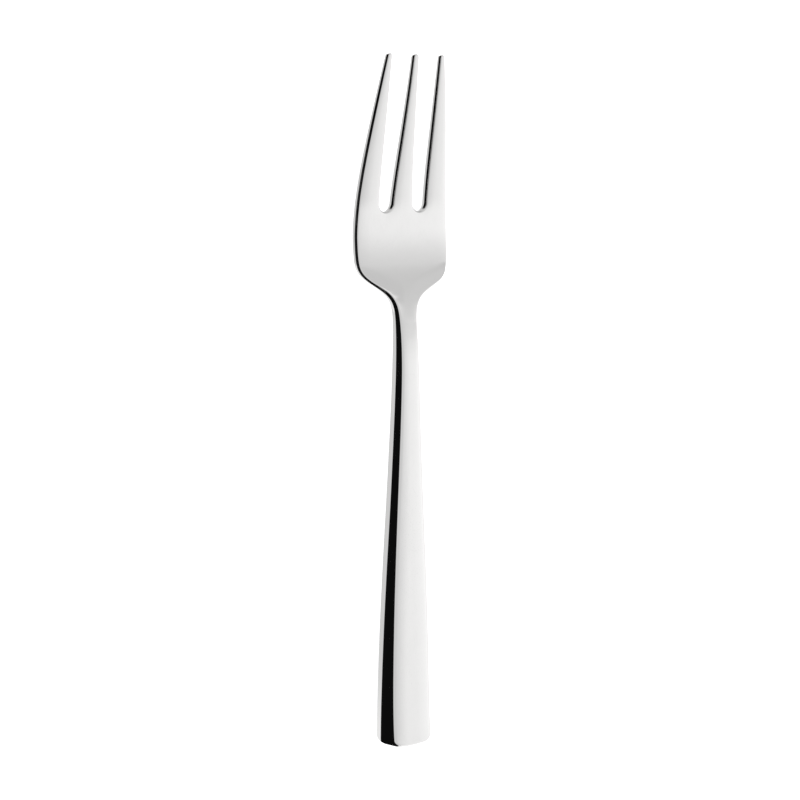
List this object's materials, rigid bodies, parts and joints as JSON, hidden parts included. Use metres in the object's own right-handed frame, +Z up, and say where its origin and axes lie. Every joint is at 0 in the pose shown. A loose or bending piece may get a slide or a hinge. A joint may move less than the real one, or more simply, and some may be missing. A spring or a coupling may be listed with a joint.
{
  "type": "pastry fork",
  "caption": "Slim polished steel pastry fork with a tapering solid handle, a shallow head and slender upturned tines.",
  "frame": {"origin": "centre of the fork's length and width, on the table plane that its broad end and its belly rest on", "axes": "+Z up from the table, +Y along the fork towards the tine tips, +X to the right of someone who looks along the tines"},
  "size_m": [0.0244, 0.15, 0.0073],
  "materials": {
    "polished_steel": "mirror polished stainless steel with fine hairline scratches from use"
  },
  "bodies": {
    "root": {"fork": "polished_steel"}
  },
  "joints": []
}
